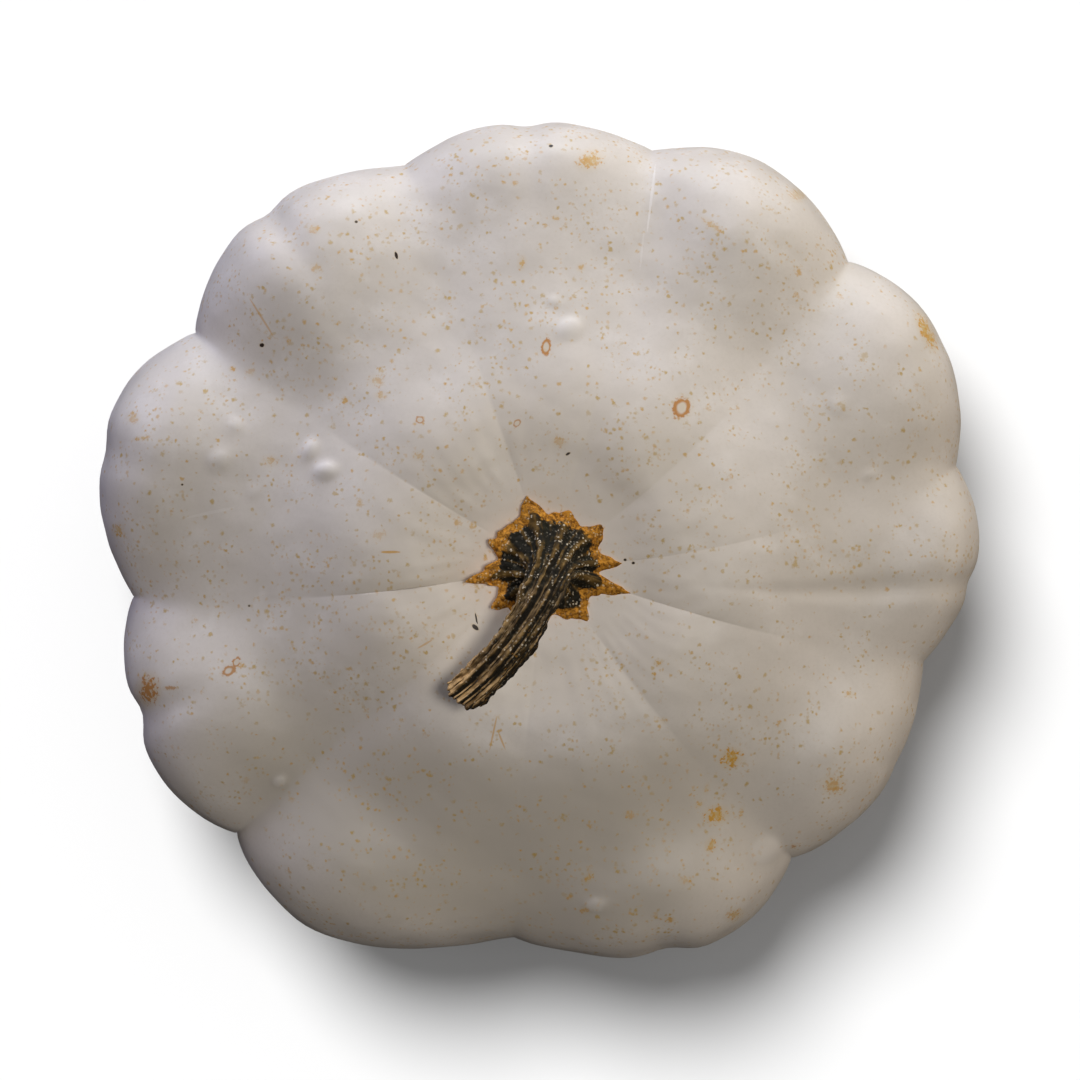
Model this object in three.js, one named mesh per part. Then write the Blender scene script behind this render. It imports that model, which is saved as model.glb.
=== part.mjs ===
// A white pattypan squash as it is picked: one scalloped fruit, which rests on its blossom end, and
// its dried, ribbed stalk, which is bent over and grips the fruit with a star-shaped foot.
// Millimetres, +Z up. The origin is on the resting surface, under the middle of the fruit's outline.
import * as THREE from "three";

// The ten grooves, anticlockwise from +X as seen from above, about the stalk. Each meets the rim at
// angle `at` (degrees), where its bottom is `radius` from the stalk's axis. On its way to the stalk
// it bends by `bend` degrees, and its sharp bottom is `cut` deep there.
const GROOVES = [
  { at: 13.5, radius: 76.6, bend: -13, cut: 0.2 },
  { at: 45.1, radius: 77.4, bend: -12, cut: 0.2 },
  { at: 75.8, radius: 77.3, bend: -4, cut: 0.1 },
  { at: 109.7, radius: 77.4, bend: -1, cut: 0.25 },
  { at: 146.7, radius: 76.5, bend: 5, cut: 0.3 },
  { at: 184.5, radius: 75.1, bend: 8, cut: 0.7 },
  { at: 220.9, radius: 74.3, bend: -2, cut: 0.05 },
  { at: 264.9, radius: 67.7, bend: -3, cut: 0.15 },
  { at: 309.7, radius: 69.1, bend: -6, cut: 0.15 },
  { at: 345.5, radius: 70.4, bend: -6, cut: 0.5 },
];

// The lobe after each groove. `swell` is how far it stands out past its two grooves at the rim and
// `peak` the share of its width where it is fullest. A `taper` below 1 makes it blunt, above 1
// pointed. On the fruit's top only the share `top` of the swelling shows. A shallow crease, `crease`
// deep at the rim, runs across the lobe at share `creaseAt` of its width, from share `creaseFrom` of
// the way out from the stalk.
const LOBES = [
  { swell: 5.7, peak: 0.56, taper: 0.85, top: 0.55, crease: 0.2, creaseAt: 0.5, creaseFrom: 0.8 },
  { swell: 5.1, peak: 0.51, taper: 0.95, top: 0.9, crease: 0.1, creaseAt: 0.45, creaseFrom: 0.8 },
  { swell: 3.6, peak: 0.53, taper: 0.85, top: 0.35, crease: 1.0, creaseAt: 0.5, creaseFrom: 0.8 },
  { swell: 5.4, peak: 0.55, taper: 0.85, top: 1.0, crease: 1.4, creaseAt: 0.51, creaseFrom: 0.75 },
  { swell: 8.2, peak: 0.44, taper: 1.0, top: 0.45, crease: 0.9, creaseAt: 0.5, creaseFrom: 0.8 },
  { swell: 6.5, peak: 0.51, taper: 0.85, top: 0.9, crease: 1.6, creaseAt: 0.43, creaseFrom: 0.8 },
  { swell: 6.4, peak: 0.36, taper: 1.3, top: 0.9, crease: 0.3, creaseAt: 0.46, creaseFrom: 0.8 },
  { swell: 6.2, peak: 0.57, taper: 0.85, top: 0.9, crease: 1.3, creaseAt: 0.5, creaseFrom: 0.8 },
  { swell: 3.9, peak: 0.45, taper: 1.05, top: 1.2, crease: 0.4, creaseAt: 0.58, creaseFrom: 0.8 },
  { swell: 4.7, peak: 0.56, taper: 0.9, top: 0.25, crease: 0.9, creaseAt: 0.43, creaseFrom: 0.3 },
];
const TOP_END = [0.8, 1]; // over these shares of the way out, the top gives way to the rim
const CREASE_HALF_WIDTH = 0.07; // as a share of a lobe
const SOFTNESS = 0.6; // how rounded the valley between two lobes is on the top
const CUT_HALF_WIDTH = 2.2; // of a groove's sharp bottom
const CUT_START = [0.13, 0.26]; // it deepens over these shares of the way out
const CUT_END = [0.3, 0.75]; // and fades over these

// Near the stalk the grooves' radii give way to their mean, and a little past it, because the dip
// round the stalk lies off the middle of the fruit.
const MEAN_GROOVE = 74;
const EVENNESS = 1.6;
const EVEN_SPAN = [0.5, 1];
const FULL_TURN = 360;

// The line down the bottom of a groove, from the stalk over the rim to the blossom end: the share of
// the groove's radius, the height, and the share of their swelling that the lobes have there. A
// smooth curve is drawn along these points.
const GROOVE_LINE = [
  [0, 63.6, 0],
  [0.1, 63.6, 0],
  [0.2, 64.3, 0.01],
  [0.3, 65.3, 0.03],
  [0.39, 65.2, 0.05],
  [0.485, 63.6, 0.07],
  [0.59, 60.1, 0.12],
  [0.69, 56.6, 0.26],
  [0.775, 54.3, 0.6],
  [0.86, 52.2, 0.97],
  [0.94, 48.9, 1.08],
  [0.99, 44.4, 1],
  [1.01, 38.4, 1],
  [1.01, 32.0, 1],
  [0.985, 25.6, 1],
  [0.935, 19.2, 0.93],
  [0.85, 13.0, 0.8],
  [0.73, 7.8, 0.6],
  [0.57, 3.9, 0.33],
  [0.41, 1.2, 0.1],
  [0.26, -0.5, 0],
  [0.13, -0.9, 0],
  [0, -0.9, 0],
];
const FLAT_SPOT_SHIFT = [-1.5, 4.2]; // the blossom end lies this far from under the stalk
const SCAR_RADIUS = 8; // the hollow left by the blossom
const SCAR_RIM = 1.6;
const SCAR_DEPTH = 1.1;

// The stalk. Its axis is a cubic Bezier curve from the middle of its foot to its cut end.
const STALK_AXIS = [
  [0, 0, 0],
  [1.6, 0, 12],
  [-3.9, -14.4, 12.6],
  [-14.5, -22.4, 8.6],
];
const STALK_RADIUS = 3.75;
const STALK_END_RADIUS = 3.65;
const STALK_TWIST = 22; // degrees, from foot to end
const RIB_DEPTH = 0.75;
const RIB_SHARPNESS = 1.5; // above 1 the ribs are wider than the furrows between them
const CUT_SLANT = 0.9; // the cut end's upper edge is this much further out than its middle
const CUT_SKEW = 1.0; // and its left edge this much further out than its middle
const CUT_FADE = 8; // a higher power keeps the slant closer to the end

// The star-shaped foot. It has one thin point for each of the fruit's grooves, at angle `at` (degrees),
// which reaches out to radius `reach`.
const FOOT_RADIUS = 9.3;
const FOOT_POINTS = [
  { at: 1, reach: 13 },
  { at: 33, reach: 12.5 },
  { at: 69, reach: 10.4 },
  { at: 107, reach: 12.6 },
  { at: 157, reach: 11.4 },
  { at: 192, reach: 14.8 },
  { at: 218, reach: 12.9 },
  { at: 262, reach: 11 },
  { at: 305, reach: 12.2 },
  { at: 341, reach: 15.4 },
];
const FOOT_POINT_WIDTH = 0.5; // half a point's width, as a share of the way to the next point
const POINT_SHARPNESS = 1.6; // above 1 the edge between two points is hollow
const FOOT_EDGE = 0.55; // thickness of the foot's thin edge
const FOOT_HEIGHT = 2.6; // the flare has shrunk to a third at this height
const FOOT_POINT_HEIGHT = 0.9;
const FOOT_GAP = 0.35; // clearance between foot and fruit

const STEPS_PER_LOBE = 14;
const STEP_CROWDING = 0.45; // how much closer together the steps are beside a groove
const FRUIT_ROWS = 42;
const STALK_STEPS_PER_RIB = 8;
const STALK_ROWS = 24;
const ROW_CROWDING = 1.5; // the rows are closer together at the foot
const UNDER_ROWS = [0.45, 0.8, 1]; // rows of the foot's underside, by share of its radius

const SKIN = new THREE.MeshStandardMaterial({ color: 0xe2dbcf, roughness: 0.5, metalness: 0 });
const STALK_BARK = new THREE.MeshStandardMaterial({ color: 0x5b4c2c, roughness: 0.85, metalness: 0 });

const radians = THREE.MathUtils.degToRad;
const lerp = THREE.MathUtils.lerp;
const smoothstep = THREE.MathUtils.smoothstep;

// The point at share u of a uniform cubic B-spline that starts and ends on its end points.
function alongSpline(points, u) {
  const last = points.length - 1;
  const padded = [points[0], points[0], ...points, points[last], points[last]];
  const spans = padded.length - 3;
  const place = Math.min(u * spans, spans - 1e-9);
  const i = Math.floor(place);
  const f = place - i;
  const weights = [
    (1 - f) ** 3 / 6,
    (3 * f ** 3 - 6 * f ** 2 + 4) / 6,
    (-3 * f ** 3 + 3 * f ** 2 + 3 * f + 1) / 6,
    f ** 3 / 6,
  ];
  return points[0].map((_, axis) =>
    weights.reduce((sum, w, k) => sum + w * padded[i + k][axis], 0),
  );
}

// The groove line as evenly spaced samples of share, height, swelling and outward normal, with the
// share scaled so that the rim is at exactly 1.
function sampleGrooveLine(count) {
  const dense = 1500;
  const raw = Array.from({ length: dense + 1 }, (_, k) => alongSpline(GROOVE_LINE, k / dense));
  const widest = Math.max(...raw.map(([share]) => share));
  const line = raw.map(([share, z, strength]) => [share / widest, z, strength]);
  const length = [0];
  for (let k = 1; k < line.length; k++) {
    const run = (line[k][0] - line[k - 1][0]) * MEAN_GROOVE;
    length.push(length[k - 1] + Math.hypot(run, line[k][1] - line[k - 1][1]));
  }
  const samples = [];
  for (let n = 0, k = 1; n <= count; n++) {
    const wanted = (length[dense] * n) / count;
    while (k < dense && length[k] < wanted) k++;
    const f = (wanted - length[k - 1]) / (length[k] - length[k - 1]);
    const run = (line[k][0] - line[k - 1][0]) * MEAN_GROOVE;
    const rise = line[k][1] - line[k - 1][1];
    const step = Math.hypot(run, rise);
    samples.push({
      share: lerp(line[k - 1][0], line[k][0], f),
      z: lerp(line[k - 1][1], line[k][1], f),
      strength: lerp(line[k - 1][2], line[k][2], f),
      outward: -rise / step,
      upward: run / step,
      along: n / count,
    });
  }
  return samples;
}

const FINE_LINE = sampleGrooveLine(600);
const RIM_ALONG = FINE_LINE.reduce((best, s) => (s.share > best.share ? s : best)).along;
const POINT_ANGLES = FOOT_POINTS.map((point) => point.at);

// The angle at share t of the way from number i to the next one, in degrees.
function angleBetween(angles, i, t) {
  const to = i + 1 < angles.length ? angles[i + 1] : angles[0] + FULL_TURN;
  return lerp(angles[i], to, t);
}

// The grooves' angles at one share of the way out, on the top; underneath they run straight.
function grooveAngles(share, under) {
  return GROOVES.map(({ at, bend }) => at + (under ? 0 : bend * (1 - share)));
}

// The radius of the groove line at share t of lobe i.
function grooveRadius(i, t, share) {
  const next = GROOVES[(i + 1) % GROOVES.length];
  const radius = lerp(GROOVES[i].radius, next.radius, t);
  return lerp(radius, MEAN_GROOVE, EVENNESS * (1 - smoothstep(share, ...EVEN_SPAN)));
}

// How far the surface stands out past the groove line at share t of lobe i.
function swellingAt(i, t, { share, strength }, under) {
  const lobe = LOBES[i];
  const fullestAtHalf = Math.log(0.5) / Math.log(lobe.peak);
  const soft = under ? 0 : SOFTNESS * (1 - smoothstep(share, ...TOP_END));
  const raised = (sine) => Math.hypot(sine, soft) ** lobe.taper - soft ** lobe.taper;
  const arch = raised(Math.sin(Math.PI * t ** fullestAtHalf)) / raised(1);
  const showing = under ? 1 : lerp(lobe.top, 1, smoothstep(share, ...TOP_END));
  const creaseShare = under ? strength : smoothstep(share, lobe.creaseFrom, 1);
  const creaseShape = Math.exp(-(((t - lobe.creaseAt) / CREASE_HALF_WIDTH) ** 2));
  return lobe.swell * arch * strength * showing - lobe.crease * creaseShape * creaseShare;
}

// The depth of the sharp groove bottoms at share t of lobe i, whose width there is given.
function cutAt(i, t, share, width) {
  const near = GROOVES[i].cut * Math.exp((-width * t) / CUT_HALF_WIDTH);
  const far = GROOVES[(i + 1) % GROOVES.length].cut * Math.exp((-width * (1 - t)) / CUT_HALF_WIDTH);
  return (near + far) * smoothstep(share, ...CUT_START) * (1 - smoothstep(share, ...CUT_END));
}

// The fruit's surface at share t of lobe i, at one place on the groove line, about the stalk's axis.
function fruitPoint(i, t, place) {
  const under = place.along > RIM_ALONG;
  const angles = grooveAngles(place.share, under);
  const groove = grooveRadius(i, t, place.share);
  const lobeAngle = angleBetween(angles, i, 1) - angles[i];
  const width = radians(lobeAngle) * place.share * groove;
  const cut = under ? 0 : cutAt(i, t, place.share, width);
  const out = swellingAt(i, t, place, under) - cut;
  const radius = place.share * groove + out * place.outward;
  const angle = radians(angleBetween(angles, i, t));
  const shift = smoothstep(place.along, RIM_ALONG, 1);
  const scar = SCAR_DEPTH * (1 - smoothstep(radius, SCAR_RADIUS - SCAR_RIM, SCAR_RADIUS));
  return new THREE.Vector3(
    radius * Math.cos(angle) + FLAT_SPOT_SHIFT[0] * shift,
    radius * Math.sin(angle) + FLAT_SPOT_SHIFT[1] * shift,
    Math.max(place.z + out * place.upward, 0) + (under ? scar : 0),
  );
}

// The height of the fruit's upper surface near the stalk, at an angle in degrees.
function heightAtStalk(angle, radius) {
  const angles = grooveAngles(radius / MEAN_GROOVE, false);
  const turned = angle < angles[0] ? angle + FULL_TURN : angle;
  const i = angles.findLastIndex((start) => start <= turned);
  const t = (turned - angles[i]) / (angleBetween(angles, i, 1) - angles[i]);
  const wanted = radius / grooveRadius(i, t, 0);
  const k = Math.max(1, FINE_LINE.findIndex((s) => s.share >= wanted));
  const [a, b] = [FINE_LINE[k - 1], FINE_LINE[k]];
  const f = (wanted - a.share) / (b.share - a.share);
  return lerp(fruitPoint(i, t, a).z, fruitPoint(i, t, b).z, f);
}

// One closed surface through a stack of rings, with a point at each end.
function closedSurface(start, rings, end) {
  const positions = [start, ...rings.flat(), end].flatMap((p) => [p.x, p.y, p.z]);
  const size = rings[0].length;
  const last = 1 + rings.length * size;
  const index = [];
  for (let j = 0; j < size; j++) {
    const k = (j + 1) % size;
    index.push(0, 1 + j, 1 + k);
    for (let n = 0; n + 1 < rings.length; n++) {
      const upper = 1 + n * size;
      const lower = upper + size;
      index.push(upper + j, lower + j, lower + k);
      index.push(upper + j, lower + k, upper + k);
    }
    index.push(last - size + j, last, last - size + k);
  }
  const geometry = new THREE.BufferGeometry();
  geometry.setAttribute("position", new THREE.Float32BufferAttribute(positions, 3));
  geometry.setIndex(index);
  geometry.computeVertexNormals();
  return geometry;
}

// One ring of points: `place` is called for each step round the lobes or the foot's points.
function ringOf(count, steps, place) {
  return Array.from({ length: count * steps }, (_, k) => place(Math.floor(k / steps), (k % steps) / steps));
}

function makeFruit() {
  const line = sampleGrooveLine(FRUIT_ROWS);
  const crowded = (t) => t - (STEP_CROWDING * Math.sin(2 * Math.PI * t)) / (2 * Math.PI);
  const ring = (place) =>
    ringOf(LOBES.length, STEPS_PER_LOBE, (i, t) => fruitPoint(i, crowded(t), place));
  const rings = line.slice(1, -1).map(ring);
  const fruit = new THREE.Mesh(
    closedSurface(fruitPoint(0, 0, line[0]), rings, fruitPoint(0, 0, line[FRUIT_ROWS])),
    SKIN,
  );
  fruit.name = "fruit";
  return fruit;
}

// The foot's outline at share t of the way from point i to the next: a disc with thin points.
function footRadius(i, t) {
  const near = t < 0.5 ? i : (i + 1) % FOOT_POINTS.length;
  const away = Math.min(t, 1 - t) / FOOT_POINT_WIDTH;
  const point = Math.max(0, 1 - away) ** POINT_SHARPNESS;
  return lerp(FOOT_RADIUS, FOOT_POINTS[near].reach, point);
}

// A ring of the foot's underside, which follows the fruit.
function underRing(share) {
  return ringOf(FOOT_POINTS.length, STALK_STEPS_PER_RIB, (i, t) => {
    const radius = share * footRadius(i, t);
    const degrees = angleBetween(POINT_ANGLES, i, t);
    const z = heightAtStalk(degrees, radius) + FOOT_GAP;
    return new THREE.Vector3(radius * Math.cos(radians(degrees)), radius * Math.sin(radians(degrees)), z);
  });
}

// A ring of the stalk at share v of its axis. Its ribs run up from the foot's points.
function stalkRing(axis, v, middle) {
  const centre = axis.getPoint(v);
  const tangent = axis.getTangent(v);
  const sideways = new THREE.Vector3(-STALK_AXIS[3][1], STALK_AXIS[3][0], 0).normalize();
  const sideAngle = Math.atan2(sideways.y, sideways.x);
  const side = sideways.clone().addScaledVector(tangent, -sideways.dot(tangent)).normalize();
  const across = tangent.clone().cross(side);
  const height = v * axis.getLength();
  const flare = Math.exp(-height / FOOT_HEIGHT);
  const pointFlare = Math.exp(-height / FOOT_POINT_HEIGHT);
  return ringOf(FOOT_POINTS.length, STALK_STEPS_PER_RIB, (i, t) => {
    const furrow = RIB_DEPTH * Math.sin(Math.PI * t) ** RIB_SHARPNESS * (1 + flare);
    const tube = lerp(STALK_RADIUS, STALK_END_RADIUS, v) - furrow * (1 - pointFlare);
    const points = footRadius(i, t) - FOOT_RADIUS;
    const radius = tube + (FOOT_RADIUS - tube) * flare + points * pointFlare;
    const degrees = angleBetween(POINT_ANGLES, i, t);
    const angle = radians(degrees + STALK_TWIST * v) - sideAngle;
    const place = centre.clone().addScaledVector(side, radius * Math.cos(angle));
    place.addScaledVector(across, radius * Math.sin(angle));
    const slant = CUT_SLANT * Math.sin(angle) - CUT_SKEW * Math.cos(angle);
    place.addScaledVector(tangent, slant * v ** CUT_FADE);
    place.z += lerp(middle, heightAtStalk(degrees, radius), flare) + FOOT_GAP + FOOT_EDGE;
    return place;
  });
}

function makeStalk() {
  const axis = new THREE.CubicBezierCurve3(...STALK_AXIS.map((p) => new THREE.Vector3(...p)));
  const middle = heightAtStalk(0, 0);
  const rows = Array.from({ length: STALK_ROWS + 1 }, (_, n) => (n / STALK_ROWS) ** ROW_CROWDING);
  const rings = [
    ...UNDER_ROWS.map(underRing),
    ...rows.map((v) => stalkRing(axis, v, middle)),
  ];
  const cut = axis.getPoint(1);
  cut.z += middle + FOOT_GAP + FOOT_EDGE;
  const underside = new THREE.Vector3(0, 0, middle + FOOT_GAP);
  const stalk = new THREE.Mesh(closedSurface(cut, rings.reverse(), underside), STALK_BARK);
  stalk.name = "stalk";
  return stalk;
}

const squash = new THREE.Group();
const fruit = makeFruit();
squash.add(fruit, makeStalk());
const middle = new THREE.Box3().setFromObject(fruit).getCenter(new THREE.Vector3());
squash.position.set(-middle.x, -middle.y, 0);

export default squash;
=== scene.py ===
# A white pattypan squash seen from straight above on a white floor: the fruit, its dried stalk, the
# marks on its rind, and the soft studio light. Metres, +Z up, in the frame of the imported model.
import math

import bpy
import numpy as np
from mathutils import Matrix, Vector


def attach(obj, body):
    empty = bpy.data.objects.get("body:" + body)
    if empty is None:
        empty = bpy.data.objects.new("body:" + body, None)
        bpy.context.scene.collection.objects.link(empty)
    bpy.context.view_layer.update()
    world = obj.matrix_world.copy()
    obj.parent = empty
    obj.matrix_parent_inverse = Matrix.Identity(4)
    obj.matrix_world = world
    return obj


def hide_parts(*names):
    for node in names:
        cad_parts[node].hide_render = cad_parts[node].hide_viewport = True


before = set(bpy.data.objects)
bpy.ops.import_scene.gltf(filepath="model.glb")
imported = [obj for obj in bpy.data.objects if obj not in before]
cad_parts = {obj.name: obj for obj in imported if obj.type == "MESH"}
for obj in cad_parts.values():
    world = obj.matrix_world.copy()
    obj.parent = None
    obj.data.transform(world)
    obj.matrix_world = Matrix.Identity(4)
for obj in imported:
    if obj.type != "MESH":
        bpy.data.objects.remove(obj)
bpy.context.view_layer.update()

MM = 0.001

# The camera looks straight down. The widest outline, at RIM_HEIGHT, fills this much of the picture.
IMAGE_PIXELS = 1080
OUTLINE_PIXELS = 878
OUTLINE_WIDTH = 160  # mm
RIM_HEIGHT = 35  # mm
CAMERA_DISTANCE = 900  # mm above the rim
SENSOR_WIDTH = 36  # mm

# The shape of the fruit, in millimetres, as in the model. The ten grooves anticlockwise from +X:
# angle at the rim (degrees), radius, bend towards the stalk (degrees), depth of the sharp bottom.
GROOVES = np.array([
    (13.5, 76.6, -13, 0.2),
    (45.1, 77.4, -12, 0.2),
    (75.8, 77.3, -4, 0.1),
    (109.7, 77.4, -1, 0.25),
    (146.7, 76.5, 5, 0.3),
    (184.5, 75.1, 8, 0.7),
    (220.9, 74.3, -2, 0.05),
    (264.9, 67.7, -3, 0.15),
    (309.7, 69.1, -6, 0.15),
    (345.5, 70.4, -6, 0.5),
])

# The lobe after each groove: swelling at the rim, where in its width it is fullest, taper, share of
# the swelling on the top, then its crease's depth, place in the width and inner end.
LOBES = np.array([
    (5.7, 0.56, 0.85, 0.55, 0.2, 0.5, 0.8),
    (5.1, 0.51, 0.95, 0.9, 0.1, 0.45, 0.8),
    (3.6, 0.53, 0.85, 0.35, 1.0, 0.5, 0.8),
    (5.4, 0.55, 0.85, 1.0, 1.4, 0.51, 0.75),
    (8.2, 0.44, 1.0, 0.45, 0.9, 0.5, 0.8),
    (6.5, 0.51, 0.85, 0.9, 1.6, 0.43, 0.8),
    (6.4, 0.36, 1.3, 0.9, 0.3, 0.46, 0.8),
    (6.2, 0.57, 0.85, 0.9, 1.3, 0.5, 0.8),
    (3.9, 0.45, 1.05, 1.2, 0.4, 0.58, 0.8),
    (4.7, 0.56, 0.9, 0.25, 0.9, 0.43, 0.3),
])
TOP_END = (0.8, 1)  # shares of the radius over which the top's swelling becomes the rim's
CREASE_HALF_WIDTH = 0.07  # share of a lobe's width
SOFTNESS = 0.6  # how gently a lobe rises from its grooves on the top
CUT_HALF_WIDTH = 2.2  # of the sharp bottom of a groove
CUT_START = (0.13, 0.26)  # shares of the radius over which the sharp bottom begins
CUT_END = (0.3, 0.75)  # and over which it fades
MEAN_GROOVE = 74  # radius that the grooves have on average
EVENNESS = 1.6  # near the stalk a radius moves this share of its way to the mean, and past it
EVEN_SPAN = (0.5, 1)  # shares of the radius over which that ends

# Control points of the line down the bottom of a groove: share of the groove's radius, height, and
# share of the lobe's swelling.
GROOVE_LINE = np.array([
    (0, 63.6, 0), (0.1, 63.6, 0), (0.2, 64.3, 0.01), (0.3, 65.3, 0.03), (0.39, 65.2, 0.05),
    (0.485, 63.6, 0.07), (0.59, 60.1, 0.12), (0.69, 56.6, 0.26), (0.775, 54.3, 0.6),
    (0.86, 52.2, 0.97), (0.94, 48.9, 1.08), (0.99, 44.4, 1), (1.01, 38.4, 1), (1.01, 32.0, 1),
    (0.985, 25.6, 1), (0.935, 19.2, 0.93), (0.85, 13.0, 0.8), (0.73, 7.8, 0.6), (0.57, 3.9, 0.33),
    (0.41, 1.2, 0.1), (0.26, -0.5, 0), (0.13, -0.9, 0), (0, -0.9, 0),
])
FLAT_SPOT_SHIFT = (-1.5, 4.2)  # from the stalk's axis to the middle of the spot it rests on
SCAR_RADIUS = 8  # of the hollow blossom scar
SCAR_RIM = 1.6
SCAR_DEPTH = 1.1

# The stalk, as in the model: the control points of its axis, and the points of its foot by angle
# and reach.
STALK_AXIS = np.array([(0, 0, 0), (1.6, 0, 12), (-3.9, -14.4, 12.6), (-14.5, -22.4, 8.6)])
STALK_RADIUS = 3.75
STALK_END_RADIUS = 3.65
STALK_TWIST = 22  # degrees from foot to cut end
RIB_DEPTH = 0.75
RIB_SHARPNESS = 1.5
CUT_SLANT = 0.9  # how far the cut end leans one way
CUT_SKEW = 1.0  # and the other
CUT_FADE = 8  # how soon the lean fades away from the cut
FOOT_RADIUS = 9.3
FOOT_POINTS = np.array([
    (1, 13), (33, 12.5), (69, 10.4), (107, 12.6), (157, 11.4),
    (192, 14.8), (218, 12.9), (262, 11), (305, 12.2), (341, 15.4),
])
FOOT_POINT_WIDTH = 0.5  # share of the way from a point to the next
POINT_SHARPNESS = 1.6
FOOT_EDGE = 0.55  # thickness of the foot's edge
FOOT_HEIGHT = 2.6  # over which the foot's disc narrows to the stalk
FOOT_POINT_HEIGHT = 0.9  # and its points to the disc
FOOT_GAP = 0.35  # between the foot and the fruit
UNDER_SHARES = (0.45, 0.8, 1)  # rings on the underside of the foot, as shares of its outline
CUT_FACE_SHARES = (0.85, 0.6, 0.3)  # rings on the cut face, which is a little hollow
UNDER_COUNT = len(UNDER_SHARES)
CUT_COUNT = len(CUT_FACE_SHARES)
CUT_FACE_DEPTH = 0.25
CUT_MIDDLE_DEPTH = 0.3

# What the scene adds to the stalk: a low rib in each furrow, a ragged edge to the foot, and beads,
# fibres, grit and corky grain, each with its height and its size.
SMALL_RIB_PLACE = 0.42  # share of the way from one rib to the next
SMALL_RIB_WIDTH = 0.1
SMALL_RIB_HEIGHT = 0.3
RAGGED_EDGE = (0.3, 1.3)
BEADS = (0.12, 1.2)
FIBRES = (0.16, 1.5)
GRIT = (0.06, 0.6)
CORK_GRAIN = (0.17, 0.9)
SMOOTH_ROWS = 4  # rows at the foot's edge without any of these
FIBRE_RADIUS = 3.2  # of the straight tube on which the fibres and the grain are drawn
FIBRE_STRETCH = (2.2, 2.2, 0.3)
GRAIN_STRETCH = (2.4, 2.4, 0.35)
CORK_SPAN = (6.6, 9.4)  # the foot turns from bark to cork over these distances from its middle
CORK_BEND = 0.45  # share of a point's reach by which that edge bends outwards

# What the stalk's colours follow: its ribs; its upper left side, painted lighter, partly as painted
# light and partly as the straw-coloured fibres near its cut end; and its lower right side, painted
# darker as painted shade.
RIB_PAINT_SHARPNESS = 1.2
SMALL_RIB_PAINT = 0.75
# the side facing this way is painted lighter, partly painted light and partly straw-coloured fibres near
# the cut end; the side facing away gets painted shade
PAINTED_LIGHT_SIDE = (-0.9, 0.4)
STRAW_START = (9, 16)  # along the stalk
STRAW_TIP = (7, 3)  # before its cut end
# painted shade on the lower right side begins over these distances along the stalk
SIDE_SHADE_START = (3, 8)

# What the scene adds to the rind: lumps, each size with its height, and fine wrinkles round the stalk.
LUMPS = ((0.34, 22), (0.1, 9), (0.025, 3.5))
WRINKLES = ((47, 3, 16), (29, 2, 24))  # number round the stalk, waviness and the waves' size
WRINKLE_HEIGHT = 0.014
WRINKLE_END = (22, 50)  # distances from the stalk over which they fade
WART_FALL = 1.3  # how steeply a wart falls off, and how flat its top is
WART_FLATNESS = 1.5
SMOOTH_FOOT = (13, 20)  # no lumps under the stalk's foot
SMOOTH_BOTTOM = (0.5, 8)  # and none where the fruit rests
MARKS_FROM = RIM_HEIGHT - 6  # marks and warts lie above these heights
WARTS_FROM = RIM_HEIGHT - 8

# Where the rind is warmer, round the stalk, and where painted shade darkens it, below it and
# to the left.
WARM_REACH = (22, 46)
PAINTED_SHADE_BELOW = (18, 40)
PAINTED_SHADE_REACH = (60, 74)
PAINTED_SHADE_RIGHT_END = (12, 50)

# How finely the pieces are built.
FRUIT_STEPS_PER_LOBE = 46
STEP_CROWDING = 0.45  # how much closer the steps are in the grooves
TOP_ROWS = 150
UNDER_ROWS = 56
STALK_STEPS_PER_RIB = 38
STALK_COLUMNS = len(FOOT_POINTS) * STALK_STEPS_PER_RIB
STALK_ROWS = 200
ROW_CROWDING = 1.5  # and the rows at the foot
GROOVE_LINE_SAMPLES = 1501
AXIS_SAMPLES = 201

random = np.random.default_rng(7)


def smoothstep(x, low, high):
    """0 below low, 1 above high, and a smooth step between."""
    t = np.clip((x - low) / (high - low), 0, 1)
    return t * t * (3 - 2 * t)


def lerp(a, b, t):
    """The value at share t of the way from a to b."""
    return a + (b - a) * t


def waves(points, size, count=40):
    """A smooth random field of about unit strength whose bumps are about `size` across."""
    directions = random.normal(size=(count, 3))
    directions /= np.linalg.norm(directions, axis=1)[:, None]
    directions *= 2 * np.pi / (size * random.uniform(1.2, 2.8, (count, 1)))
    phases = random.uniform(0, 2 * np.pi, count)
    return np.sin(points @ directions.T + phases).sum(axis=1) / math.sqrt(count / 2)


def along_spline(points, u):
    """Points at shares u of a uniform cubic B-spline that starts and ends on its end points."""
    padded = np.vstack([points[:1], points[:1], points, points[-1:], points[-1:]])
    spans = len(padded) - 3
    place = np.minimum(u * spans, spans - 1e-9)
    i = place.astype(int)
    f = (place - i)[:, None]
    return (
        padded[i] * (1 - f) ** 3
        + padded[i + 1] * (3 * f**3 - 6 * f**2 + 4)
        + padded[i + 2] * (-3 * f**3 + 3 * f**2 + 3 * f + 1)
        + padded[i + 3] * f**3
    ) / 6


def make_groove_line():
    """The groove line by share of length: share of radius, height, swelling and normal."""
    line = along_spline(GROOVE_LINE, np.linspace(0, 1, GROOVE_LINE_SAMPLES))
    line[:, 0] /= line[:, 0].max()
    steps = np.diff(line[:, :2], axis=0) * (MEAN_GROOVE, 1)
    lengths = np.hypot(steps[:, 0], steps[:, 1])
    along = np.concatenate([[0], np.cumsum(lengths)]) / lengths.sum()
    middles = (along[1:] + along[:-1]) / 2
    normals = np.column_stack([-steps[:, 1], steps[:, 0]]) / lengths[:, None]
    normal = [np.interp(along, middles, normals[:, k]) for k in (0, 1)]
    return np.column_stack([along, line, *normal])


GROOVE_SAMPLES = make_groove_line()
RIM_SAMPLE = GROOVE_SAMPLES[:, 1].argmax()
RIM_ALONG = GROOVE_SAMPLES[RIM_SAMPLE, 0]


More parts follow.
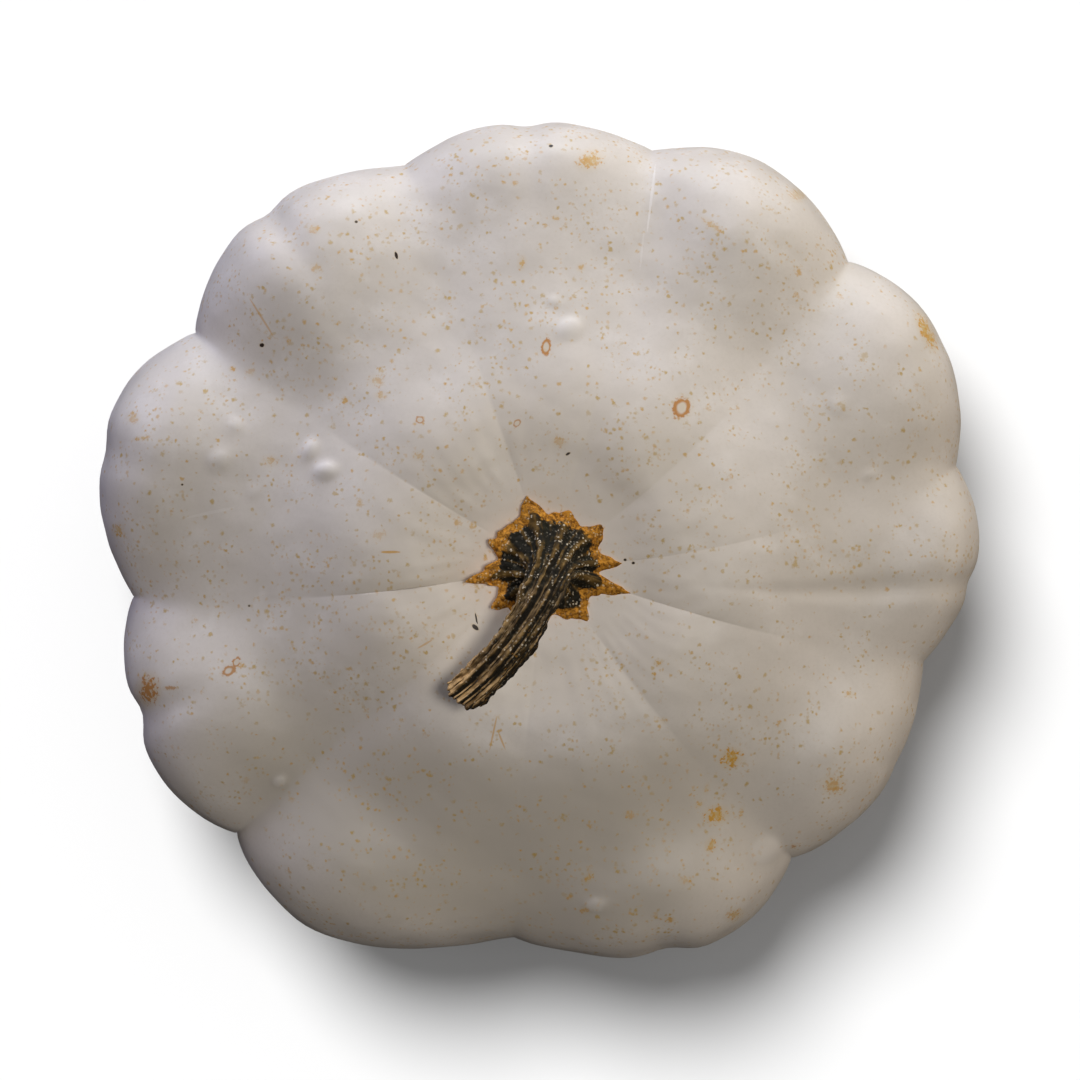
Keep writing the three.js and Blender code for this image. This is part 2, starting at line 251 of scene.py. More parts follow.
def groove_radius(i, t, share):
    """The radius of the groove line at share t of lobe i."""
    radius = lerp(GROOVES[i, 1], GROOVES[(i + 1) % len(GROOVES), 1], t)
    return lerp(radius, MEAN_GROOVE, EVENNESS * (1 - smoothstep(share, *EVEN_SPAN)))


def fruit_surface(turns, along):
    """Points of the fruit about the stalk's axis; turns is the lobe's number and share of width."""
    share, height, strength, outward, upward = (
        np.interp(along, GROOVE_SAMPLES[:, 0], GROOVE_SAMPLES[:, k]) for k in range(1, 6)
    )
    i = turns.astype(int) % len(LOBES)
    t = turns % 1
    after = (i + 1) % len(LOBES)
    swell, peak, taper, top, crease_depth, crease_at, crease_from = LOBES[i].T
    under = along > RIM_ALONG
    bend = np.where(under, 0, 1 - share)
    start = GROOVES[i, 0] + GROOVES[i, 2] * bend
    end = GROOVES[after, 0] + GROOVES[after, 2] * bend + np.where(after == 0, 360, 0)
    groove = groove_radius(i, t, share)
    soft = np.where(under, 0, SOFTNESS * (1 - smoothstep(share, *TOP_END)))
    sine = np.sin(np.pi * t ** (np.log(0.5) / np.log(peak)))
    arch = np.hypot(sine, soft) ** taper - soft**taper
    arch /= np.hypot(1, soft) ** taper - soft**taper
    showing = np.where(under, 1, lerp(top, 1, smoothstep(share, *TOP_END)))
    crease = crease_depth * np.exp(-(((t - crease_at) / CREASE_HALF_WIDTH) ** 2))
    crease *= np.where(under, strength, smoothstep(share, crease_from, 1))
    width = np.radians(end - start) * share * groove
    cut = GROOVES[i, 3] * np.exp(-width * t / CUT_HALF_WIDTH)
    cut += GROOVES[after, 3] * np.exp(-width * (1 - t) / CUT_HALF_WIDTH)
    cut *= np.where(under, 0, smoothstep(share, *CUT_START) * (1 - smoothstep(share, *CUT_END)))
    out = swell * arch * strength * showing - crease - cut
    radius = share * groove + out * outward
    angle = np.radians(lerp(start, end, t))
    shift = smoothstep(along, RIM_ALONG, 1)
    scar = SCAR_DEPTH * (1 - smoothstep(radius, SCAR_RADIUS - SCAR_RIM, SCAR_RADIUS))
    return np.stack([
        radius * np.cos(angle) + FLAT_SPOT_SHIFT[0] * shift,
        radius * np.sin(angle) + FLAT_SPOT_SHIFT[1] * shift,
        np.maximum(height + out * upward, 0) + np.where(under, scar, 0),
    ], axis=-1)


def height_at_stalk(degrees, radius):
    """The height of the fruit's top near the stalk."""
    angles = GROOVES[:, 0] + GROOVES[:, 2] * (1 - radius[:, None] / MEAN_GROOVE)
    turned = np.where(degrees < angles[:, 0], degrees + 360, degrees)
    i = (angles <= turned[:, None]).sum(axis=1) - 1
    row = np.arange(len(i))
    start = angles[row, i]
    after = (i + 1) % len(GROOVES)
    end = angles[row, after] + np.where(after == 0, 360, 0)
    t = (turned - start) / (end - start)
    wanted = radius / groove_radius(i, t, 0)
    along = np.interp(wanted, GROOVE_SAMPLES[:RIM_SAMPLE, 1], GROOVE_SAMPLES[:RIM_SAMPLE, 0])
    return fruit_surface(i + t, along)[:, 2]


def grid_faces(rows, columns):
    """Quads and end triangles of rings of points with a point before and a point after them."""
    rings = 1 + np.arange(rows * columns).reshape(rows, columns)
    upper, lower = rings[:-1], rings[1:]
    quads = np.stack([upper, lower, np.roll(lower, -1, 1), np.roll(upper, -1, 1)], axis=-1)
    last = 1 + rows * columns
    start = [(0, a, b) for a, b in zip(rings[0], np.roll(rings[0], -1))]
    end = [(a, last, b) for a, b in zip(rings[-1], np.roll(rings[-1], -1))]
    return start + quads.reshape(-1, 4).tolist() + end


def make_object(name, points, faces, material):
    """A smooth object from points in millimetres."""
    mesh = bpy.data.meshes.new(name)
    mesh.from_pydata((points * MM).tolist(), [], faces)
    mesh.shade_smooth()
    mesh.materials.append(material)
    thing = bpy.data.objects.new(name, mesh)
    bpy.context.scene.collection.objects.link(thing)
    return thing


def normals_of(mesh):
    """The normal at each vertex."""
    values = np.empty(len(mesh.vertices) * 3)
    mesh.vertex_normals.foreach_get("vector", values)
    return values.reshape(-1, 3)


def move_points(mesh, points):
    """Gives the mesh new points, in millimetres."""
    mesh.vertices.foreach_set("co", (points * MM).ravel())
    mesh.update()


def set_attribute(mesh, name, values, domain="POINT"):
    """Stores one number, or three, for each point or face corner."""
    kind, key = ("FLOAT", "value") if values.ndim == 1 else ("FLOAT_VECTOR", "vector")
    mesh.attributes.new(name, kind, domain).data.foreach_set(key, values.astype(np.float32).ravel())


def add(tree, kind, inputs=(), **settings):
    """A node with its settings; an input's value is a socket to link or a plain value."""
    node = tree.nodes.new("ShaderNode" + kind)
    for key, value in settings.items():
        setattr(node, key, value)
    for key, value in dict(inputs).items():
        if isinstance(value, bpy.types.NodeSocket):
            tree.links.new(value, node.inputs[key])
        else:
            node.inputs[key].default_value = value
    return node


def calc(tree, operation, a, b=0.0, c=0.0):
    """The result of a math node."""
    return add(tree, "Math", {0: a, 1: b, 2: c}, operation=operation).outputs[0]


def ramp(tree, value, low, high, start=0.0, end=1.0):
    """The value's smooth step from low to high, between start and end."""
    node = add(tree, "MapRange", {0: value, 1: low, 2: high, 3: start, 4: end})
    node.interpolation_type = "SMOOTHSTEP"
    return node.outputs[0]


def noise(tree, place, size_mm, detail=2.0, roughness=0.5, distortion=0.0):
    """A noise texture whose bumps are about size_mm across."""
    inputs = {"Vector": place, "Scale": 1000 / size_mm, "Detail": detail}
    inputs |= {"Roughness": roughness, "Distortion": distortion}
    return add(tree, "TexNoise", inputs).outputs["Fac"]


def blend(tree, share, a, b):
    """Colour a, with share of colour b over it."""
    node = tree.nodes.new("ShaderNodeMix")
    node.data_type = "RGBA"
    for socket, value in zip((node.inputs[0], node.inputs[6], node.inputs[7]), (share, a, b)):
        if isinstance(value, bpy.types.NodeSocket):
            tree.links.new(value, socket)
        elif isinstance(value, tuple):
            socket.default_value = (*value, 1)
        else:
            socket.default_value = value
    return node.outputs[2]


def attribute(tree, name):
    """An attribute node."""
    return add(tree, "Attribute", attribute_name=name)


def new_material(name):
    """A material, its node tree and its surface shader."""
    material = bpy.data.materials.new(name)
    material.use_nodes = True
    tree = material.node_tree
    return material, tree, tree.nodes["Principled BSDF"]


# Marks on the rind as the camera sees them, in millimetres in the plane of the rim: x, y, half
# length, half width, turn (degrees), strength. Each kind has its own look.
BLOTCHES = [
    (34.8, -39.7, 1.9, 1.6, 30, 1.2),
    (71.0, 37.0, 2.6, 0.9, 112, 0.9),
    (9.1, 69.2, 2.2, 1.6, 20, 0.75),
    (-3.3, 50.5, 1.2, 0.7, 80, 0.7),
    (2.9, 58.7, 0.7, 0.5, 0, 0.6),
    (7.5, 49.7, 0.8, 0.6, 30, 0.6),
    (31.3, 57.4, 2.6, 0.7, -35, 0.5),
    (32.1, -50.1, 2.0, 1.5, 10, 1.1),
    (31.2, -55.6, 1.3, 1.0, 60, 0.8),
    (53.4, -44.7, 2.0, 1.6, 0, 0.65),
    (35.5, -68.3, 1.5, 0.9, 20, 0.7),
    (8.2, -67.4, 1.0, 0.7, 0, 0.6),
    (-76.9, 1.8, 1.2, 1.0, 80, 0.7),
    (70.2, 38.4, 3.1, 1.1, -64, 0.95),
    (47.0, 62.9, 1.8, 1.3, 0, 0.35),
    (-72.5, 18.6, 1.6, 0.4, 10, 0.6),
    (-4.6, 65.0, 0.6, 0.5, 0, 0.5),
    (-52.8, 30.6, 0.9, 0.8, 0, 0.35),
    (47.0, -61.5, 0.9, 0.7, 0, 0.6),
    (22.6, -32.9, 0.8, 0.6, 0, 0.5),
    (-54.7, -22.8, 0.8, 0.6, 0, 0.6),
    (-29.3, 0.8, 1.6, 1.0, 20, 0.3),
    (3.5, 17.9, 1.4, 1.1, 0, 0.45),
    (8.8, -61.6, 1.2, 0.7, 50, 0.7),
    (5.3, -65.1, 0.6, 0.5, 0, 0.6),
    (23.7, -69.2, 1.0, 0.5, 0, 0.75),
    (36.6, -49.8, 1.1, 0.4, 75, 0.6),
    (29.0, -48.2, 0.9, 0.6, 40, 0.6),
    (16.3, -50.1, 1.0, 0.8, 0, 0.45),
    (30.4, -45.3, 0.9, 0.5, 80, 0.5),
    (26.5, -62.0, 1.2, 0.8, 0, 0.4),
    (21.5, -22.4, 0.7, 0.6, 0, 0.8),
    (20.7, -24.4, 0.45, 0.4, 0, 0.9),
    (43.5, -33.4, 0.6, 0.4, 60, 0.6),
    (56.3, -28.1, 0.8, 0.6, 0, 0.5),
    (-41.3, 56.7, 1.2, 0.9, 0, 0.4),
    (-40.8, 49.6, 1.0, 0.8, 0, 0.45),
    (-29.8, 29.0, 1.4, 1.1, 0, 0.45),
    (-35.5, 25.4, 0.7, 0.6, 0, 0.8),
    (-29.0, 26.3, 1.2, 0.8, 0, 0.5),
    (-22.3, 15.3, 1.0, 0.8, 0, 0.45),
    (-56.0, 31.2, 0.6, 0.5, 0, 0.8),
    (-49.2, 14.4, 1.4, 1.0, 0, 0.45),
    (-74.2, 22.3, 1.2, 1.0, 0, 0.45),
]
SCABS = [
    (-71.3, -27.3, 2.7, 1.9, 85, 0.9),
    (-67.5, -27.0, 1.2, 0.4, 0, 0.6),
    (46.2, -55.8, 0.5, 0.4, 0, 0.7),
]
RINGS = [
    (1.1, 35.2, 1.4, 0.8, 85, 0.9),
    (25.9, 24.1, 2.0, 1.7, 60, 0.9),
    (-21.9, 21.9, 0.7, 0.6, 0, 0.7),
    (-4.2, 21.3, 0.8, 0.6, 40, 0.7),
    (-56.8, -23.9, 1.4, 1.0, 30, 0.8),
    (-55.3, -22.3, 1.0, 0.7, 60, 0.8),
]
DARK_SPOTS = [
    (-33.5, 58.0, 0.3, 0.26, 0, 0.9),
    (-26.2, 51.9, 0.7, 0.28, 105, 1),
    (-50.7, 35.5, 0.45, 0.38, 0, 1),
    (2.0, 71.8, 0.4, 0.28, 0, 1),
    (5.1, 15.7, 0.5, 0.24, 30, 1),
    (15.5, -3.6, 0.3, 0.26, 0, 1),
    (17.0, -4.2, 0.3, 0.26, 0, 1),
    (-11.6, -14.4, 1.2, 0.16, 100, 1),
    (-11.8, -15.9, 0.75, 0.4, 140, 1),
    (-65.2, 10.1, 0.25, 0.2, 0, 0.9),
    (-53.0, -12.0, 0.25, 0.22, 0, 0.8),
]
SCRATCHES = [
    (-27.3, -2.2, 1.9, 0.25, 0, 0.8),
    (-8.5, -35.1, 3.2, 0.18, 78, 0.6),
    (-7.0, -36.5, 1.9, 0.18, -68, 0.6),
    (-50.7, 40.5, 4.4, 0.2, -58, 0.5),
    (-21.0, -19.0, 1.6, 0.2, 30, 0.5),
]
PALE_LINES = [
    (20.3, 62.4, 6.5, 0.25, 83, 0.9),
    (18.6, 53.0, 4.0, 0.2, 84, 0.4),
    (-60.0, 5.0, 5.0, 0.3, 12, 0.4),
]
MARK_KINDS = {
    "blotch": BLOTCHES,
    "scab": SCABS,
    "ring": RINGS,
    "dark_spot": DARK_SPOTS,
    "scratch": SCRATCHES,
    "pale_line": PALE_LINES,
}
FAR_OFF = 9  # a place outside every mark, in the mark's own frame

# Warts: x, y, half length, half width, turn and height, seen in the same way.
WARTS = [
    (5.3, 38.6, 2.6, 2.0, 20, 0.6),
    (-41.8, 16.4, 2.0, 1.4, 60, 0.6),
    (-39.0, 12.6, 2.2, 1.5, 10, 0.7),
    (-58.5, 14.8, 2.2, 1.7, 10, 0.55),
    (54.3, 24.6, 2.0, 1.6, 0, 0.3),
    (10.4, -66.0, 1.8, 1.4, 0, 0.55),
    (41.0, -56.4, 2.8, 2.2, 40, 0.8),
    (-47.4, -43.7, 1.4, 1.1, 0, 0.5),
    (-55.5, 20.8, 1.5, 1.0, -30, 0.4),
    (-52.0, 9.0, 1.4, 0.8, 10, 0.25),
    (2.5, 43.5, 1.3, 1.0, 0, 0.3),
    (60.0, 12.0, 1.6, 0.8, 10, 0.25),
]


def seen_places(points):
    """Where the camera sees the points, in the plane of the rim."""
    return points[:, :2] * (CAMERA_DISTANCE / (CAMERA_DISTANCE + RIM_HEIGHT - points[:, 2]))[:, None]


def mark_places(places, marks):
    """The places in each mark's own frame, where its edge is at distance 1."""
    x, y, long, wide, turn = marks[:, :5].T
    cos, sin = np.cos(np.radians(turn)), np.sin(np.radians(turn))
    dx = places[..., 0, None] - x
    dy = places[..., 1, None] - y
    return (dx * cos + dy * sin) / long, (dy * cos - dx * sin) / wide


def relief_of(points, shift):
    """How far the rind stands out with lumps, wrinkles and warts, and with the warts alone."""
    reach = np.hypot(points[:, 0], points[:, 1])
    angle = np.arctan2(points[:, 1], points[:, 0])
    height = sum(strength * waves(points, size) for strength, size in LUMPS)
    wrinkles = sum(np.sin(number * angle + wavy * waves(points, size)) for number, wavy, size in WRINKLES)
    wrinkles *= (1 - smoothstep(reach, *WRINKLE_END)) * (points[:, 2] > RIM_HEIGHT)
    height += WRINKLE_HEIGHT * wrinkles
    height *= smoothstep(reach, *SMOOTH_FOOT) * smoothstep(points[:, 2], *SMOOTH_BOTTOM)
    warts = np.array(WARTS)
    u, v = mark_places(seen_places(points - shift), warts)
    bumps = np.exp(-WART_FALL * (u**2 + v**2) ** WART_FLATNESS) * (points[:, 2:] > WARTS_FROM)
    wart_height = (bumps * warts[:, 5]).sum(axis=1)
    return height + wart_height, wart_height


def store_marks(mesh, points):
    """Gives each face its nearest mark: places in the mark's frame, and its kind's strength."""
    marks = np.array([mark for kind in MARK_KINDS.values() for mark in kind])
    kind_of = np.array([name for name, kind in MARK_KINDS.items() for mark in kind])
    corners = np.empty(len(mesh.loops), dtype=int)
    mesh.loops.foreach_get("vertex_index", corners)
    sizes = np.empty(len(mesh.polygons), dtype=int)
    mesh.polygons.foreach_get("loop_total", sizes)
    face_of = np.repeat(np.arange(len(sizes)), sizes)
    places = seen_places(points)[corners]
    middles = np.stack([np.bincount(face_of, places[:, k]) / sizes for k in (0, 1)], axis=-1)
    u, v = mark_places(middles, marks)
    nearest = np.hypot(u, v).argmin(axis=1)[face_of]
    u, v = mark_places(places, marks)
    corner = np.arange(len(corners))
    upper = points[corners, 2] > MARKS_FROM
    own = np.column_stack([u[corner, nearest], v[corner, nearest], np.zeros(len(corners))])
    own[~upper] = FAR_OFF
    set_attribute(mesh, "mark", own, "CORNER")
    strength = marks[nearest, 5]
    for name in MARK_KINDS:
        set_attribute(mesh, name, strength * (kind_of[nearest] == name), "CORNER")


def speckles(tree, place, ragged, cell_mm, dot_mm, density, gate):
    """Soft ragged dots of random size, one to a cell at most, in clusters; and a random number."""
    cells = add(tree, "TexVoronoi", {"Vector": place, "Scale": 1000 / cell_mm})
    parts = add(tree, "SeparateColor", {0: cells.outputs["Color"]})
    there = calc(tree, "LESS_THAN", parts.outputs[0], calc(tree, "MULTIPLY", gate, density))
    dot = dot_mm / cell_mm
    size = calc(tree, "MULTIPLY_ADD", parts.outputs[1], dot * 0.6, dot * 0.4)
    wobble = calc(tree, "MULTIPLY_ADD", ragged, 2.4 * dot, -1.2 * dot)
    near = calc(tree, "ADD", wobble, calc(tree, "SUBTRACT", size, cells.outputs["Distance"]))
    strength = calc(tree, "MULTIPLY_ADD", parts.outputs[2], 0.55, 0.35)
    dots = calc(tree, "MULTIPLY", ramp(tree, near, dot * -0.15, dot * 0.75), there)
    return calc(tree, "MULTIPLY", dots, strength), parts.outputs[1]


# Colours of the rind.
CREAM = (0.778, 0.700, 0.618)
DULL = (0.680, 0.605, 0.518)
# SHADED is painted shade for the rind below the stalk and to the left.
SHADED = (0.610, 0.543, 0.460)
WHITE_PATCH = (0.845, 0.775, 0.705)
WARM = (0.790, 0.690, 0.565)
TAN = (0.690, 0.470, 0.180)
ORANGE = (0.690, 0.350, 0.055)
OCHRE = (0.600, 0.400, 0.125)
SCAR_BROWN = (0.560, 0.225, 0.035)
BLACK_BROWN = (0.030, 0.015, 0.008)

# Colours of the stalk.
FURROW_BLACK = (0.013, 0.011, 0.006)
RIB_BROWN = (0.115, 0.064, 0.015)
RIB_OCHRE = (0.400, 0.245, 0.085)
GREEN_BLACK = (0.040, 0.040, 0.022)
PALE_FLECK = (0.70, 0.60, 0.44)
# painted shade for the stalk's lower right side
SIDE_SHADE_BLACK = (0.012, 0.010, 0.007)
CORK_DARK = (0.210, 0.080, 0.008)
CORK_ORANGE = (0.650, 0.285, 0.035)
CORK_PIT = (0.12, 0.05, 0.01)
CORK_FLECK = (0.85, 0.66, 0.38)
STRAW_DARK = (0.150, 0.078, 0.022)
STRAW_LIGHT = (0.640, 0.400, 0.170)
WOOD_DARK = (0.07, 0.055, 0.035)
WOOD_LIGHT = (0.36, 0.30, 0.22)


def make_rind():
    """Cream rind with faint mottling, tan speckles in clusters, scabs, scars and scratches."""
    material, tree, surface = new_material("rind")
    place = add(tree, "TexCoord").outputs["Object"]
    warmth_and_painted_shade = attribute(tree, "warmth_and_painted_shade").outputs["Fac"]
    wide = noise(tree, place, 22, 2, 0.6)
    cloudy = noise(tree, place, 7, 3, 0.6)
    ragged = noise(tree, place, 0.7, 2, 0.65)
    colour = blend(tree, ramp(tree, wide, 0.40, 0.68, 0, 0.6), CREAM, DULL)
    colour = blend(tree, ramp(tree, cloudy, 0.48, 0.7, 0, 0.45), colour, WHITE_PATCH)
    colour = blend(tree, ramp(tree, ragged, 0.4, 0.75, 0, 0.25), colour, DULL)
    colour = blend(tree, ramp(tree, warmth_and_painted_shade, 0.5, 1, 0, 0.7), colour, WARM)
    # Painted shade: the rind below the stalk and to the left is darkened towards SHADED.
    colour = blend(tree, ramp(tree, warmth_and_painted_shade, 0, 0.5, 0.9, 0), colour, SHADED)
    clusters = ramp(tree, wide, 0.40, 0.62, 0.12, 1)
    groups = ramp(tree, cloudy, 0.45, 0.62, 0.05, 1)
    for cell, dot, density, gate in (
        (0.9, 0.39, 1.0, groups),
        (1.4, 0.52, 1.0, clusters),
        (4.1, 1.00, 0.5, groups),
    ):
        there, pick = speckles(tree, place, ragged, cell, dot, density, gate)
        paint = blend(tree, ramp(tree, pick, 0.3, 0.9, 0, 0.8), TAN, ORANGE)
        paint = blend(tree, ramp(tree, pick, 0.7, 0.85), paint, OCHRE)
        colour = blend(tree, there, colour, paint)

    mark = attribute(tree, "mark").outputs["Vector"]
    parts = add(tree, "SeparateXYZ", {0: mark})
    squares = calc(tree, "MULTIPLY", parts.outputs[0], parts.outputs[0])
    squares = calc(tree, "MULTIPLY_ADD", parts.outputs[1], parts.outputs[1], squares)
    distance = calc(tree, "SQRT", squares)
    rough_distance = calc(tree, "ADD", distance, calc(tree, "MULTIPLY_ADD", ragged, 0.6, -0.3))
    inside = ramp(tree, rough_distance, 0.8, 1.05, 1, 0)
    halo = ramp(tree, distance, 0.4, 1.7, 1, 0)
    crumbs = ramp(tree, calc(tree, "MULTIPLY_ADD", distance, -0.30, ragged), 0.24, 0.38)
    warped = calc(tree, "ADD", rough_distance, calc(tree, "MULTIPLY_ADD", cloudy, 1.2, -0.6))
    band = calc(tree, "ABSOLUTE", calc(tree, "SUBTRACT", warped, 0.8))
    band = ramp(tree, calc(tree, "MULTIPLY_ADD", ragged, 0.5, band), 0.32, 0.58, 1, 0)
    near = calc(tree, "LESS_THAN", distance, 2.2)
    golden = blend(tree, ramp(tree, ragged, 0.45, 0.62), TAN, ORANGE)
    for name, shape, paint, haze in (
        ("blotch", crumbs, golden, 0.35),
        ("scab", crumbs, SCAR_BROWN, 0.5),
        ("ring", band, SCAR_BROWN, 0.25),
        ("scratch", inside, ORANGE, 0.15),
        ("dark_spot", inside, BLACK_BROWN, 0.6),
        ("pale_line", inside, WHITE_PATCH, 0),
    ):
        strength = calc(tree, "MULTIPLY", attribute(tree, name).outputs["Fac"], near)
        if haze:
            veil = calc(tree, "MULTIPLY", calc(tree, "MULTIPLY", halo, strength), haze)
            colour = blend(tree, veil, colour, TAN)
        colour = blend(tree, calc(tree, "MULTIPLY", shape, strength), colour, paint)
    wart = attribute(tree, "wart").outputs["Fac"]
    colour = blend(tree, ramp(tree, wart, 0.05, 0.4, 0, 0.5), colour, WHITE_PATCH)
    tree.links.new(colour, surface.inputs["Base Color"])

    rough = ramp(tree, cloudy, 0.3, 0.7, 0.42, 0.58)
    tree.links.new(rough, surface.inputs["Roughness"])
    level = noise(tree, place, 2.2, 0)
    bump = add(tree, "Bump", {"Strength": 0.3, "Distance": 0.00016, "Height": level})
    tree.links.new(bump.outputs[0], surface.inputs["Normal"])
    surface.inputs["Specular IOR Level"].default_value = 0.38
    return material


def make_bark():
    """Dried stalk: black furrows, ochre ribs with pale flecks, and a corky orange star edge."""
    material, tree, surface = new_material("bark")
    place = add(tree, "TexCoord").outputs["Object"]
    rib = attribute(tree, "rib").outputs["Fac"]
    cork = attribute(tree, "cork").outputs["Fac"]
    stretched = attribute(tree, "grain").outputs["Vector"]
    strands = add(tree, "TexNoise", {"Vector": stretched, "Scale": 1.0, "Detail": 4}).outputs["Fac"]
    blotches = noise(tree, place, 2.4, 4, 0.65)
    grains = noise(tree, place, 0.6, 3, 0.7)
    high = calc(tree, "MULTIPLY_ADD", rib, 0.6, calc(tree, "MULTIPLY_ADD", strands, 1.3, -0.6))
    high = calc(tree, "ADD", high, calc(tree, "MULTIPLY_ADD", blotches, 0.9, -0.4))
    colour = blend(tree, ramp(tree, high, 0.3, 0.7), FURROW_BLACK, RIB_BROWN)
    colour = blend(tree, ramp(tree, high, 0.65, 1.05), colour, RIB_OCHRE)
    colour = blend(tree, ramp(tree, blotches, 0.5, 0.7, 0, 0.5), colour, GREEN_BLACK)
    flecks = add(tree, "TexVoronoi", {"Vector": place, "Scale": 1900})
    fleck_parts = add(tree, "SeparateColor", {0: flecks.outputs["Color"]})
    fleck = calc(tree, "MULTIPLY_ADD", grains, 1.2, flecks.outputs["Distance"])
    fleck = ramp(tree, fleck, 0.8, 1.05, 1, 0)
    fleck = calc(tree, "MULTIPLY", fleck, calc(tree, "LESS_THAN", fleck_parts.outputs[0], blotches))
    fleck = calc(tree, "MULTIPLY", fleck, ramp(tree, rib, 0.35, 0.8, 0.15, 1))
    colour = blend(tree, calc(tree, "MULTIPLY", fleck, 0.9), colour, PALE_FLECK)
    # Painted shade: the stalk's lower right side is darkened towards near black.
    side_painted_shade = attribute(tree, "side_painted_shade").outputs["Fac"]
    colour = blend(tree, side_painted_shade, colour, SIDE_SHADE_BLACK)
    corky = blend(tree, ramp(tree, grains, 0.34, 0.62), CORK_DARK, CORK_ORANGE)
    pits = ramp(tree, noise(tree, place, 1.3, 3, 0.6), 0.55, 0.68, 0, 0.75)
    corky = blend(tree, pits, corky, CORK_PIT)
    corky = blend(tree, calc(tree, "MULTIPLY", fleck, 0.6), corky, CORK_FLECK)
    edge = calc(tree, "ADD", cork, calc(tree, "MULTIPLY_ADD", blotches, 2.2, -1.1))
    colour = blend(tree, ramp(tree, edge, 0.3, 0.62), colour, corky)
    # Partly painted light: the upper left side turns to straw colours, most near the cut end, where its
    # fibres are straw-coloured.
    straw_and_painted_light = attribute(tree, "straw_and_painted_light").outputs["Fac"]
    fibres = blend(tree, ramp(tree, strands, 0.35, 0.62), STRAW_DARK, STRAW_LIGHT)
    colour = blend(tree, straw_and_painted_light, colour, fibres)
    cut = attribute(tree, "cut").outputs["Fac"]
    wood = blend(tree, ramp(tree, grains, 0.35, 0.65), WOOD_DARK, WOOD_LIGHT)
    colour = blend(tree, cut, colour, wood)
    tree.links.new(colour, surface.inputs["Base Color"])
    rough = ramp(tree, blotches, 0.3, 0.7, 0.7, 0.95)
    tree.links.new(rough, surface.inputs["Roughness"])
    level = calc(tree, "MULTIPLY_ADD", strands, 1.5, grains)
    bump = add(tree, "Bump", {"Strength": 0.7, "Distance": 0.0003, "Height": level})
    tree.links.new(bump.outputs[0], surface.inputs["Normal"])
    surface.inputs["Specular IOR Level"].default_value = 0.15
    return material


def make_fruit(material):
    """The fruit's finely built surface, with its relief and marks."""
    columns = len(LOBES) * FRUIT_STEPS_PER_LOBE
    steps = np.arange(columns) / FRUIT_STEPS_PER_LOBE
    turns = steps - STEP_CROWDING * np.sin(2 * np.pi * steps) / (2 * np.pi)
    top = np.linspace(0, RIM_ALONG, TOP_ROWS + 1)[1:]
    under = np.linspace(RIM_ALONG, 1, UNDER_ROWS + 1)[1:-1]
    along = np.concatenate([top, under])
    across, down = np.meshgrid(turns, along)
    rings = fruit_surface(np.maximum(across, 0).ravel(), down.ravel())
    ends = fruit_surface(np.zeros(2), np.array([0.0, 1.0]))
    points = np.vstack([ends[:1], rings, ends[1:]])
    fruit = make_object("squash_fruit", points, grid_faces(len(along), columns), material)
    middle = (rings.min(axis=0) + rings.max(axis=0)) / 2
    shift = np.array([middle[0], middle[1], 0])
    height, warts = relief_of(points, shift)
    moved = points + normals_of(fruit.data) * height[:, None]
    moved[:, 2] = np.maximum(moved[:, 2], 0)
    placed = moved - shift
    move_points(fruit.data, placed)
    store_marks(fruit.data, placed)
    set_attribute(fruit.data, "wart", warts)
    reach = np.hypot(points[:, 0], points[:, 1])
    # Painted shade: the rind below the stalk and to the left is stored darker; round the stalk it is
    # warmer.
    lower_painted_shade = smoothstep(-points[:, 1], *PAINTED_SHADE_BELOW) * (1 - smoothstep(reach, *PAINTED_SHADE_REACH))
    lower_painted_shade *= 1 - smoothstep(points[:, 0], *PAINTED_SHADE_RIGHT_END)
    warm = 1 - smoothstep(reach, *WARM_REACH)
    set_attribute(fruit.data, "warmth_and_painted_shade", 0.5 + 0.35 * warm - 0.45 * lower_painted_shade)
    return fruit, shift


def foot_radius(near, away):
    """The foot's outline: a disc with thin points, at a share of the way from a point to the next."""
    point = np.maximum(0, 1 - away / FOOT_POINT_WIDTH) ** POINT_SHARPNESS
    return lerp(FOOT_RADIUS, FOOT_POINTS[near, 1], point)


def bezier(points, v):
    """Points and unit tangents of a cubic Bezier curve."""
    v = v[:, None]
    a, b, c, d = points
    at = a * (1 - v) ** 3 + 3 * b * v * (1 - v) ** 2 + 3 * c * v**2 * (1 - v) + d * v**3
    slope = (b - a) * (1 - v) ** 2 + 2 * (c - b) * v * (1 - v) + (d - c) * v**2
    return at, slope / np.linalg.norm(slope, axis=1)[:, None]


